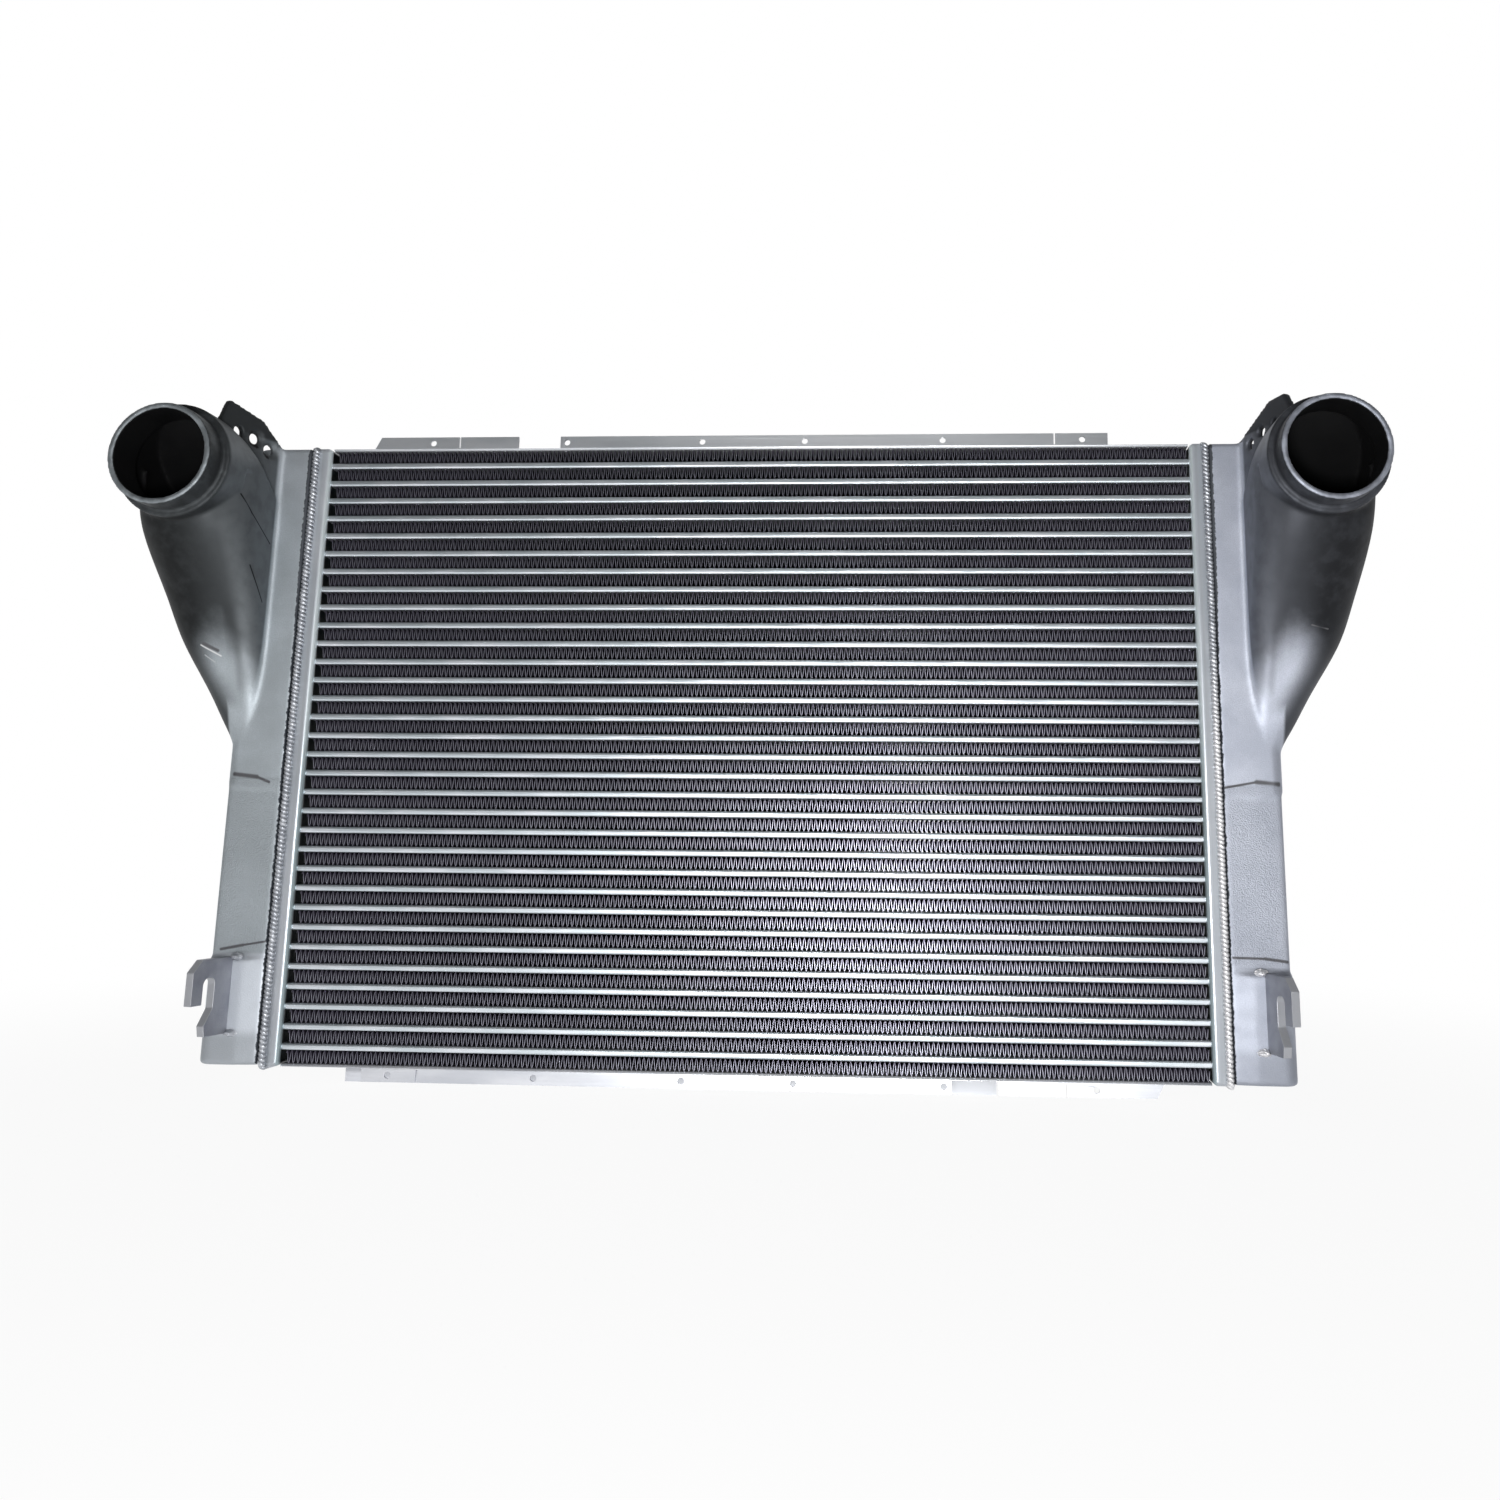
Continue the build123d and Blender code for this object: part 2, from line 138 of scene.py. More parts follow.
class Finish(NodeWork):
    """A material of one principled shader."""

    def __init__(self, name, metallic, roughness):
        self.material = bpy.data.materials.new(name)
        self.material.use_nodes = True
        super().__init__(self.material.node_tree)
        self.tree.nodes.clear()
        self.shader = self.tree.nodes.new("ShaderNodeBsdfPrincipled")
        self.end = self.tree.nodes.new("ShaderNodeOutputMaterial")
        self.tree.links.new(self.shader.outputs[0], self.end.inputs[0])
        self.set("Metallic", metallic)
        self.set("Roughness", roughness)

    def set(self, name, value):
        self.feed(self.shader.inputs[name], value)

    def place(self):
        """The point on the piece, in metres."""
        return self.node("ShaderNodeTexCoord", {}, {}, output="Object")

    def grain(self, scale, stretch=(1, 1, 1), detail=2.0, roughness=0.5):
        """Soft noise between 0 and 1; scale is in lumps for each metre."""
        at = self.node("ShaderNodeMapping", {}, {"Vector": self.place(), "Scale": stretch})
        return self.node("ShaderNodeTexNoise", {}, {"Vector": at, "Scale": scale, "Detail": detail,
                                                    "Roughness": roughness})

    def mix(self, share, first, second):
        """A colour between two colours."""
        return self.node("ShaderNodeMix", {"data_type": "RGBA"},
                         {0: share, 6: first, 7: second}, output=2)

    def bump(self, height, depth):
        """Relief of that height map, depth in metres."""
        self.set("Normal", self.node("ShaderNodeBump", {}, {"Height": height, "Distance": depth,
                                                            "Strength": 1.0}))


def baked(piece):
    """The mesh of a piece with its modifiers worked in."""
    return bpy.data.meshes.new_from_object(
        piece.evaluated_get(bpy.context.evaluated_depsgraph_get()))


class Pattern(NodeWork):
    """A geometry node tree with named sizes."""

    def __init__(self, name, sizes):
        super().__init__(bpy.data.node_groups.new(name, "GeometryNodeTree"))
        for size, kind in sizes.items():
            self.tree.interface.new_socket(size, in_out="INPUT", socket_type=kind)
        self.tree.interface.new_socket("Mesh", in_out="OUTPUT", socket_type="NodeSocketGeometry")
        given = self.tree.nodes.new("NodeGroupInput").outputs
        self.sizes = {size: Value(self, given[size]) for size in sizes}

    def vector(self, **parts):
        return self.node("ShaderNodeCombineXYZ", {}, parts)

    def here(self):
        """The place of each vertex."""
        return self.node("GeometryNodeInputPosition", {}, {})

    def finish(self, geometry, material):
        """Ends the tree: instances made real, then their material."""
        real = self.node("GeometryNodeRealizeInstances", {}, {0: geometry})
        done = self.node("GeometryNodeSetMaterial", {}, {0: real, "Material": material})
        self.feed(self.tree.nodes.new("NodeGroupOutput").inputs[0], done)

    def grow(self, name, sizes):
        """The tree's mesh for these sizes, as an object."""
        seed = bpy.data.objects.new(name, bpy.data.meshes.new(name))
        bpy.context.scene.collection.objects.link(seed)
        modifier = seed.modifiers.new("pattern", "NODES")
        modifier.node_group = self.tree
        for item in self.tree.interface.items_tree:
            if item.in_out == "INPUT":
                modifier[item.identifier] = sizes[item.name]
        seed.data = baked(seed)
        seed.modifiers.clear()
        return seed


def smooth_copy(node, sharp_from=50.0):
    """A copy of a CAD node with its seams merged, smooth but for edges sharper than that angle."""
    mesh = nodes[node].data.copy()
    merged = bmesh.new()
    merged.from_mesh(mesh)
    bmesh.ops.remove_doubles(merged, verts=merged.verts, dist=1e-6)
    merged.to_mesh(mesh)
    merged.free()
    mesh.shade_smooth()
    mesh.set_sharp_from_angle(angle=math.radians(sharp_from))
    piece = bpy.data.objects.new(node + "_finished", mesh)
    bpy.context.scene.collection.objects.link(piece)
    return piece


def keep_flats(piece):
    """Shades the large flat faces of a piece as flat, and its narrow ones as bends."""
    flats = piece.modifiers.new("flats", "WEIGHTED_NORMAL")
    flats.keep_sharp = True
    return piece


def fit_piece(piece, material, slot, *replaced):
    """Gives a finished piece its material and its place in the frame."""
    piece.data.materials.clear()
    piece.data.materials.append(material)
    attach(piece, "root")
    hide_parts(*replaced)


tube_corner = 0.0021
tube_wall = 0.0008
NOSE_STEPS = 6
tube_dull, tube_light, tube_spark = (0.60, 0.66, 0.70), (0.76, 0.79, 0.84), (0.90, 0.91, 0.93)

tube_finish = Finish("tube sheet", metallic=0.88, roughness=0.36)
tube_flux = tube_finish.grain(55, stretch=(0.35, 1, 1.6), detail=4.0).between(0.4, 0.7)
tube_specks = tube_finish.grain(900, detail=1.0).between(0.66, 0.74)
tube_finish.set("Base Color", tube_finish.mix(
    tube_specks * 0.7, tube_finish.mix(tube_flux, tube_dull, tube_light), tube_spark))
drawing_lines = tube_finish.grain(260, stretch=(0.12, 1, 1))
tube_finish.bump(drawing_lines, 0.0002)

flat_tube = Pattern("flat tube", {
    "Length": "NodeSocketFloat", "Depth": "NodeSocketFloat", "Height": "NodeSocketFloat",
    "Corner": "NodeSocketFloat", "Middle": "NodeSocketVector"})
size = flat_tube.sizes
outline = flat_tube.node("GeometryNodeCurvePrimitiveQuadrilateral", {}, {
    "Width": size["Depth"], "Height": size["Height"]})
outline = flat_tube.node("GeometryNodeFilletCurve", {"mode": "POLY"}, {
    "Curve": outline, "Count": NOSE_STEPS, "Radius": size["Corner"]})
run = flat_tube.node("GeometryNodeCurvePrimitiveLine", {}, {
    "Start": flat_tube.vector(X=size["Length"] * -0.5),
    "End": flat_tube.vector(X=size["Length"] * 0.5)})
sleeve = flat_tube.node("GeometryNodeCurveToMesh", {}, {"Curve": run, "Profile Curve": outline})
flat_tube.finish(flat_tube.node("GeometryNodeTransform", {}, {
    "Geometry": sleeve, "Translation": size["Middle"]}), tube_finish.material)

tubes = sorted(name for name in nodes if name.startswith("tube_"))
for name in tubes:
    low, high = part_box(name)
    tube = flat_tube.grow(name + "_finished", {
        "Length": high.x - low.x, "Depth": high.y - low.y, "Height": high.z - low.z,
        "Corner": tube_corner, "Middle": tuple((low + high) / 2)})
    tube.data.shade_smooth()
    wall = tube.modifiers.new("wall", "SOLIDIFY")
    wall.thickness = tube_wall
    wall.offset = -1.0
    fit_piece(keep_flats(tube), tube_finish.material, "core_sheet", name)
fit_piece(smooth_copy("turbulators", 60.0), tube_finish.material, "core_sheet", "turbulators")


# ---- air fins ----
# Between the tubes stand rows of thin strip, folded into loops and bent to a chevron through the
# core's depth, and brazed on at every crest. Their cut edges are bright; their walls are painted
# in shade that deepens into the gaps, and a painted shadow dulls the edges under each tube.

fin_pitch = 0.00465
fin_sheet = 0.00055
fin_chevron = -0.0028
fin_wander = 0.0003
fin_crest_cut = 1.2
fin_phase = math.tau / 12
FIN_SEGMENTS = 6
FIN_GROUPS = ("lower", "middle", "upper")
fin_low, fin_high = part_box("fin_rows")
fin_row_pitch = (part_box(tubes[0])[0].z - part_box(tubes[1])[0].z)
fin_rows = round((fin_high.z - fin_low.z) / fin_row_pitch)
fin_height = fin_high.z - fin_low.z - (fin_rows - 1) * fin_row_pitch

cut_band = 0.0002
gap_shade_reach = 0.009
cut_dull, cut_light = (0.25, 0.25, 0.30), (0.33, 0.33, 0.39)
# Painted shade on the fins' walls: dim near the front, almost black deeper in the gaps.
gap_shade_near, gap_shade_deep = (0.078, 0.070, 0.098), (0.006, 0.006, 0.010)

fin_finish = Finish("fin strip", metallic=0.0, roughness=0.38)
fin_place = fin_finish.place()
fin_half_depth = (fin_high.y - fin_low.y) / 2
from_middle = abs(fin_place.part("Y") - (fin_low.y + fin_high.y) / 2)
fin_outward = fin_finish.node("ShaderNodeNewGeometry", {}, {}, output="True Normal")
cut_face = abs(fin_outward.part("Y")).between(0.5, 0.7)
fin_edge = from_middle.between(fin_half_depth - cut_band, fin_half_depth - cut_band / 2) * cut_face
# The painted shade deepens over this distance behind the cut edges.
gap_shade = (fin_half_depth - from_middle).between(0.0, gap_shade_reach)
fin_in_row = ((fin_place.part("Z") - fin_low.z) / fin_row_pitch).fraction()
# Painted shadow dulls the cut edges in the upper part of each row, under the tube above.
shadow_under_tube = fin_in_row.between(0.30, 0.58)
fin_tone = fin_finish.grain(120).between(0.35, 0.7)
fin_finish.set("Base Color", fin_finish.mix(
    fin_edge * (1 - shadow_under_tube * 0.7), fin_finish.mix(gap_shade, gap_shade_near, gap_shade_deep),
    fin_finish.mix(fin_tone, cut_dull, cut_light)))
fin_finish.set("Metallic", fin_edge * 0.85)
square_on = fin_finish.node("ShaderNodeCombineXYZ", {}, {
    "Y": fin_outward.part("Y").between(-0.1, 0.1) * 2 - 1})
fin_finish.set("Normal", fin_finish.node("ShaderNodeMix", {"data_type": "VECTOR"}, {
    0: fin_edge, 4: fin_outward, 5: square_on}, output=1))
fin_finish.set("Specular IOR Level", 0.0)

fins = Pattern("folded fin rows", {
    "Length": "NodeSocketFloat", "Depth": "NodeSocketFloat", "Height": "NodeSocketFloat",
    "Fold pitch": "NodeSocketFloat", "Chevron": "NodeSocketFloat", "Wander": "NodeSocketFloat",
    "Rows": "NodeSocketInt", "Row pitch": "NodeSocketFloat", "Start": "NodeSocketVector",
    "Seed": "NodeSocketFloat"})
size = fins.sizes
fold_count = (size["Length"] / size["Fold pitch"]).nearest_whole()
strip = fins.node("GeometryNodeMeshGrid", {}, {
    "Size X": size["Length"], "Size Y": size["Depth"],
    "Vertices X": fold_count * FIN_SEGMENTS + 1, "Vertices Y": 3})
flat_x, flat_y = fins.here().part("X"), fins.here().part("Y")
swing = (flat_x / size["Length"] * fold_count * math.tau + fin_phase).sine()
loop = (swing * fin_crest_cut).greater(-1.0).lesser(1.0)
from_edge = 1 - abs(flat_y) / (size["Depth"] * 0.5)
strip = fins.node("GeometryNodeSetPosition", {}, {"Geometry": strip, "Offset": fins.vector(
    X=from_edge * size["Chevron"], Z=loop * size["Height"] * 0.5)})
rows = fins.node("GeometryNodeMeshLine", {}, {
    "Count": size["Rows"], "Start Location": size["Start"],
    "Offset": fins.vector(Z=size["Row pitch"])})
stack = fins.node("GeometryNodeInstanceOnPoints", {}, {"Points": rows, "Instance": strip})
stack = fins.node("GeometryNodeRealizeInstances", {}, {0: stack})
drift = fins.node("ShaderNodeTexNoise", {"noise_dimensions": "4D"}, {
    "Vector": fins.vector(X=fins.here().part("X"), Z=fins.here().part("Z")),
    "W": size["Seed"], "Scale": 90.0, "Detail": 2.0})
stack = fins.node("GeometryNodeSetPosition", {}, {
    "Geometry": stack, "Offset": fins.vector(X=(drift - 0.5) * size["Wander"])})
fins.finish(stack, fin_finish.material)

rows_in_group = fin_rows // len(FIN_GROUPS)
for number, group in enumerate(FIN_GROUPS):
    rows_done = number * rows_in_group
    first_row = fin_low.z + fin_height / 2 + rows_done * fin_row_pitch
    rows_of_fins = fins.grow(f"fin_rows_{group}", {
        "Length": fin_high.x - fin_low.x - abs(fin_chevron), "Depth": fin_high.y - fin_low.y,
        "Height": fin_height - fin_sheet, "Fold pitch": fin_pitch, "Chevron": fin_chevron,
        "Wander": fin_wander, "Rows": rows_in_group, "Row pitch": fin_row_pitch,
        "Start": (-fin_chevron / 2, (fin_low.y + fin_high.y) / 2, first_row),
        "Seed": float(rows_done)})
    thick = rows_of_fins.modifiers.new("sheet", "SOLIDIFY")
    thick.thickness = fin_sheet
    thick.offset = 0.0
    fit_piece(rows_of_fins, fin_finish.material, "fins", "fin_rows")


# ---- header plates ----
# A pan of thicker sheet at each end of the core, with a slot for every tube and its sides folded
# outwards. Rolled sheet, satin, with fine lines along its length and a duller foot. The fold gets
# a painted highlight that dulls lower down, and the face among the tube ends painted shade.

header_face = 0.4500
header_dull, header_light = (0.56, 0.60, 0.65), (0.70, 0.73, 0.78)
header_streak, header_foot = (0.38, 0.40, 0.42), (0.36, 0.38, 0.41)
# The fold's bright tone is a painted highlight, dulled at the lower end.
fold_highlight, fold_dull = (0.78, 0.86, 0.88), (0.30, 0.38, 0.40)
# Painted shade on the header's face among the tube ends.
shade_behind_tubes = (0.012, 0.016, 0.018)

header_finish = Finish("header sheet", metallic=0.5, roughness=0.3)
header_place = header_finish.place()
from_core = abs(header_place.part("X")) - header_face
header_lines = header_finish.grain(420, stretch=(1, 1, 0.02), detail=3.0)
header_streaks = header_finish.grain(260, stretch=(1, 1, 0.012), detail=3.0).between(0.35, 0.7)
header_stain = header_finish.grain(18, stretch=(1, 1, 0.6), detail=4.0).between(0.4, 0.7)
header_low = 1 - header_place.part("Z").between(0.26, 0.44)
header_fold = 1 - from_core.between(0.0020, 0.0038)
# Where the header's face lies among the tube ends, it is painted in shade.
shaded_among_tubes = header_place.part("Y").between(0.0360, 0.0372) * (
    1 - from_core.between(0.0006, 0.0016))
header_tone = header_finish.mix(header_stain, header_dull, header_light)
header_tone = header_finish.mix(header_streaks * 0.3, header_tone, header_streak)
header_tone = header_finish.mix(header_low * 0.45, header_tone, header_foot)
fold_highlight_tone = header_finish.mix(header_low, fold_highlight, fold_dull)
header_tone = header_finish.mix(header_fold * 0.8, header_tone, fold_highlight_tone)
header_finish.set("Base Color", header_finish.mix(shaded_among_tubes, header_tone, shade_behind_tubes))
header_finish.set("Roughness", header_lines * 0.15 + 0.27)
header_finish.bump(header_lines, 0.00012)
for side in ("left", "right"):
    name = f"{side}_header_plate"
    fit_piece(keep_flats(smooth_copy(name, 40.0)), header_finish.material, "header_sheet", name)


# ---- side plates ----
# One folded channel closes the core above and one below. The front flange is cut to tabs, with a
# row of small holes and two slits. A painted highlight makes the sheet almost white within a band
# round X = 0.12 m, and the top channel's tones are darker than the bottom's as painted shade.

# The top channel is given darker tones than the bottom one: painted shade.
SIDE_TONES_TOP_SHADED = {"top": ((0.45, 0.48, 0.51), (0.60, 0.62, 0.65)),
               "bottom": ((0.58, 0.60, 0.65), (0.78, 0.79, 0.83))}
# Painted highlight: the sheet turns almost white round the middle of the lamp's glare.
side_glare = (0.90, 0.92, 0.95)
glare_middle, glare_full, glare_end = 0.12, 0.06, 0.34

for side, (dull, light) in SIDE_TONES_TOP_SHADED.items():
    side_finish = Finish(f"{side} side plate sheet", metallic=0.65, roughness=0.36)
    side_cloud = side_finish.grain(30, stretch=(0.3, 1, 1), detail=4.0).between(0.3, 0.75)
    from_glare = abs(side_finish.place().part("X") - glare_middle)
    painted_glare = 1 - from_glare.between(glare_full, glare_end)
    side_finish.set("Base Color", side_finish.mix(
        painted_glare * 0.6, side_finish.mix(side_cloud, dull, light), side_glare))
    rolling_lines = side_finish.grain(500, stretch=(0.04, 1, 1))
    side_finish.bump(rolling_lines, 0.0001)
    name = f"{side}_side_plate"
    fit_piece(keep_flats(smooth_copy(name, 40.0)), side_finish.material, "side_sheet", name)


# ---- end tanks ----
# One sand casting each side: the tank's body, the hood that turns the air down from the port, the
# turned spigot, and the ear. The body is blasted light; hood, neck and ear get painted shade.

cast_voxel = 0.0017
cast_softness = 9
cast_triangles = 150000
spigot_length = 0.024
ear_room = 0.004
ear_softness = 0.25
port_mouth, weld_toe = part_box("right_tank")[0].y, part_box("right_tank")[0].x
body_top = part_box("right_header_plate")[1].z
tank_front, tank_side = 0.02545, 0.528
hood_wall, hood_tip = 0.4995, 0.3276
panel_low, panel_high, foot_top = 0.130, 0.302, 0.060


def cast_copy(node):
    """A copy of a tank with the soft edges and fillets of a casting; turned faces stay crisp."""
    casting = smooth_copy(node)
    remesh = casting.modifiers.new("skin", "REMESH")
    remesh.mode = "VOXEL"
    remesh.voxel_size = cast_voxel
    casting.data = skin = baked(casting)
    casting.modifiers.clear()
    points = np.empty(len(skin.vertices) * 3, np.float32)
    skin.vertices.foreach_get("co", points)
    points = points.reshape(-1, 3)
    turned = points[:, 1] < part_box(node)[0].y + spigot_length + 0.001
    lug = ~turned & (points[:, 2] > body_top + ear_room)
    soft = casting.vertex_groups.new(name="soft")
    soft.add(np.flatnonzero(~turned & ~lug).tolist(), 1.0, "REPLACE")
    soft.add(np.flatnonzero(lug).tolist(), ear_softness, "REPLACE")
    smooth = casting.modifiers.new("softened", "SMOOTH")
    smooth.iterations = cast_softness
    smooth.vertex_group = "soft"
    fewer = casting.modifiers.new("fewer", "DECIMATE")
    fewer.ratio = min(1.0, cast_triangles / (2.0 * len(skin.polygons)))
    casting.data = baked(casting)
    casting.modifiers.clear()
    casting.vertex_groups.clear()
    casting.data.shade_smooth()
    mark_inside(casting)
    return casting


def mark_inside(casting):
    """Writes 1 on the vertices that face the casting's air space, with wall nearly all round."""
    mesh = casting.data
    walls = BVHTree.FromPolygons([vertex.co for vertex in mesh.vertices],
                                 [face.vertices for face in mesh.polygons])
    ways = [Vector(way) for way in (
        (1, 0, 0), (-1, 0, 0), (0, 1, 0), (0, -1, 0), (0, 0, 1), (0, 0, -1))]
    shut = []
    for vertex in mesh.vertices:
        start = vertex.co + vertex.normal * 0.0006
        walls_hit = sum(walls.ray_cast(start, way)[0] is not None for way in ways)
        shut.append(1.0 if walls_hit >= 5 else 0.0)
    mesh.attributes.new("inside", "FLOAT", "POINT").data.foreach_set("value", shut)


class CastFinish(Finish):
    """Aluminium casting: its body blasted light, its hood, neck and ear darkened by painted shade.
    """

    def __init__(self, name, dull, light, pad_painted_light, marks):
        super().__init__(name, metallic=0.82, roughness=0.6)
        self.dull = dull
        sideways, self.forwards, self.height = (self.place().part(axis) for axis in "XYZ")
        self.sideways = abs(sideways)
        self.cloud = self.grain(14, detail=5.0, roughness=0.6).between(0.32, 0.68)
        self.smoke = self.grain(70, detail=4.0).between(0.4, 0.7)
        self.sand = self.grain(900, detail=2.0)
        self.below_step = 1 - self.height.between(panel_high - 0.004, panel_high)
        self.lug = self.height.between(body_top + 0.0005, body_top + 0.004)
        self.neck = 1 - self.forwards.between(
            port_mouth + spigot_length, port_mouth + spigot_length + 0.006)
        proud = 1 - self.forwards.between(tank_front - 0.0065, tank_front - 0.0025)
        beside = self.sideways.between(tank_side, tank_side + 0.004)
        self.on_hood = proud.greater(beside).greater(self.lug)

        # Painted shade on the hood, neck and ear; the same mask lessens the sand relief there.
        hood_shade = self.hood_shade()
        colour = self.mix(hood_shade, self.blasted_and_shaded(light, pad_painted_light), self.hood_shade_tone())
        # Painted shade darkens the hood's outer side, which turns away from the light.
        colour = self.mix(self.turned_away_shade() * 0.88, colour, self.shade(0.06))
        for start, end, width, tone in marks:
            colour = self.mix(self.scratch(start, end, width), colour, tone)
        self.set("Base Color", self.hollows(self.edges(colour)))

        in_panel = self.height.between(panel_low, panel_low + 0.004) * self.below_step
        self.set("Roughness", self.grain(60, detail=3.0) * 0.2 + 0.5)
        self.bump(self.sand * (in_panel * 0.75 + 0.25 - hood_shade * 0.15), 0.0007)

    def shade(self, share):
        """The casting's dull tone, darkened to that share."""
        return tuple(share * part for part in self.dull)

    def hood_shade(self):
        """1 where the hood is painted in shade; it fades out down the hood, along a slanting edge.
        """
        climb = (self.sideways.lesser(0.530) - hood_wall) * 1.3
        fall = (self.sideways - 0.540).greater(0.0) * 0.8
        reach = self.height - climb + fall + (self.cloud - 0.5) * 0.014
        return self.on_hood * reach.between(hood_tip + 0.042, hood_tip + 0.106)

    def blasted_and_shaded(self, light, pad_painted_light):
        """Body: mottled, duller under the panel's step and at the foot; painted light on the pad.
        """
        tone = self.mix(self.sand.between(0.3, 0.7) * 0.35, self.mix(self.cloud, self.dull, light),
                        self.shade(0.72))
        tone = self.mix(self.below_step * 0.4, tone, self.shade(0.72))
        # Painted light: the pad and the upper body are lighter by each side's share of it.
        in_pad = 1 - self.height.between(panel_low - 0.003, panel_low + 0.001)
        painted_light = in_pad.greater(self.height.between(0.52, 0.64) * 0.5) * pad_painted_light
        tone = self.mix(painted_light, tone, (0.80, 0.83, 0.90))
        foot = 1 - self.height.between(foot_top - 0.012, foot_top)
        tone = self.mix(foot * 0.45, tone, self.shade(0.5))
        # Painted shade along the hood's ridge and in its crease.
        ridge_shade = self.on_hood * self.height.between(hood_tip + 0.012, hood_tip + 0.045)
        crease_shade = self.height.between(hood_tip + 0.05, hood_tip + 0.072) * (
            1 - abs(self.sideways - (hood_wall + 0.0135)).between(0.003, 0.010))
        tone = self.mix(ridge_shade * 0.12, tone, self.shade(0.5))
        return self.mix(crease_shade * 0.5, tone, self.shade(0.4))

    def hood_shade_tone(self):
        """Painted shade on hood and ear: darker away from the core, smoky, a paler neck at the
        port.
        """
        tone = self.mix(self.sideways.between(hood_wall, hood_wall + 0.022), self.shade(0.37),
                        self.shade(0.13))
        tone = self.mix(self.sideways.between(hood_wall + 0.02, hood_wall + 0.07), tone,
                        self.shade(0.035))
        tone = self.mix(self.smoke * 0.3, tone, self.shade(0.13))
        tone = self.mix(self.neck, tone, self.mix(self.smoke, self.shade(0.11), self.shade(0.18)))
        return self.mix(self.lug, tone, self.shade(0.1))

    def turned_away_shade(self):
        """1 on the hood's outer side, above its tip, and less so towards the back: painted shade.
        """
        outer = (self.sideways - (self.height - hood_tip) * 0.6).between(0.482, 0.514)
        above_tip = self.height.between(hood_tip - 0.012, hood_tip + 0.006)
        front = 1 - self.forwards.between(0.045, 0.075) * 0.6
        return outer * self.on_hood * above_tip * front * (1 - self.neck)

    def scratch(self, start, end, width):
        """1 along the line between two points of the surface, and 0 beyond its width."""
        span = Vector(end) - Vector(start)
        from_start = self.node("ShaderNodeVectorMath", {"operation": "SUBTRACT"},
                               {0: self.place(), 1: start})
        along = self.node("ShaderNodeVectorMath", {"operation": "DOT_PRODUCT"},
                          {0: from_start, 1: span / span.length_squared}, output="Value")
        nearest = self.node("ShaderNodeVectorMath", {"operation": "SCALE"},
                            {0: tuple(span), "Scale": along.greater(0.0).lesser(1.0)})
        away = self.node("ShaderNodeVectorMath", {"operation": "DISTANCE"},
                         {0: from_start, 1: nearest}, output="Value")
        return 1 - away.between(width * 0.25, width)

    def edges(self, colour):
        """Dark, ragged line at the weld's toe, and painted shade along the body's upper end."""
        upper = self.height.between(0.40, 0.56)
        ragged = (self.grain(330, detail=1.0) - 0.5) * 0.0030
        toe = 1 - (self.sideways + ragged - upper * 0.0016).between(
            weld_toe + 0.0014, weld_toe + 0.0023)
        groove = self.mix(upper, (0.030, 0.034, 0.042), (0.085, 0.092, 0.105))
        colour = self.mix(toe, colour, groove)
        # Painted shade where the body's upper edge turns away from the light.
        rim_shade = self.height.between(body_top - 0.0035, body_top - 0.0020) * (1 - self.on_hood)
        return self.mix(rim_shade * 0.8, colour, self.shade(0.12))

    def hollows(self, colour):
        """Bright turned face of the port, and painted shade in the air space behind it."""
        mouth = 1 - self.forwards.between(port_mouth + 0.0006, port_mouth + 0.0014)
        colour = self.mix(mouth, colour, self.mix(self.smoke, self.shade(0.5), self.shade(0.85)))
        # The air space behind the mouth is painted in shade.
        inside = self.node("ShaderNodeAttribute", {"attribute_name": "inside"}, {}, output="Fac")
        inside = inside * self.forwards.between(port_mouth + 0.0012, port_mouth + 0.0018)
        return self.mix(inside, colour, (0.018, 0.018, 0.019))


# Each side's dull and light tone, its pad's share of painted light, and its marks: from, to,
# width, tone. The SHADE marks along the panel's steps are painted shadow.
DARK, SHADE = (0.012, 0.012, 0.013), (0.13, 0.13, 0.14)
SOFT, BRIGHT = (0.50, 0.52, 0.54), (0.72, 0.73, 0.74)
CASTINGS = {
    "left": ((0.43, 0.47, 0.50), (0.54, 0.59, 0.63), 0.45, [
        ((-0.5038, -0.0400, 0.5791), (-0.4997, -0.0235, 0.5637), 0.0013, DARK),
        ((-0.4997, -0.0235, 0.5637), (-0.4995, 0.0164, 0.5409), 0.0011, DARK),
        ((-0.5018, -0.0138, 0.5120), (-0.4996, 0.0119, 0.4787), 0.0011, DARK),
        ((-0.5520, 0.0040, 0.4345), (-0.5375, 0.0060, 0.4275), 0.0026, SHADE),
        ((-0.5550, 0.0046, 0.4329), (-0.5345, 0.0074, 0.4221), 0.0012, BRIGHT),
        ((-0.5515, 0.0077, 0.4231), (-0.5412, 0.0092, 0.4161), 0.0009, SOFT),
        ((-0.5185, 0.0257, 0.3041), (-0.4949, 0.0255, 0.3016), 0.0032, SHADE),
        ((-0.4949, 0.0255, 0.3016), (-0.4816, 0.0255, 0.2964), 0.0021, SHADE),
        ((-0.5157, 0.0276, 0.1323), (-0.4932, 0.0266, 0.1366), 0.0022, SHADE),
        ((-0.4932, 0.0266, 0.1366), (-0.4700, 0.0255, 0.1405), 0.0016, SHADE)]),
    "right": ((0.49, 0.52, 0.60), (0.63, 0.66, 0.74), 0.0, [
        ((0.5532, -0.0034, 0.4538), (0.5696, 0.0014, 0.4507), 0.0012, SHADE),
        ((0.4700, 0.0255, 0.2985), (0.5009, 0.0255, 0.3041), 0.0018, SHADE),
        ((0.5009, 0.0255, 0.3041), (0.5225, 0.0274, 0.3023), 0.0034, SHADE),
        ((0.4716, 0.0256, 0.1391), (0.5019, 0.0270, 0.1384), 0.0018, SHADE),
        ((0.5019, 0.0270, 0.1384), (0.5228, 0.0279, 0.1357), 0.0022, SHADE)])}
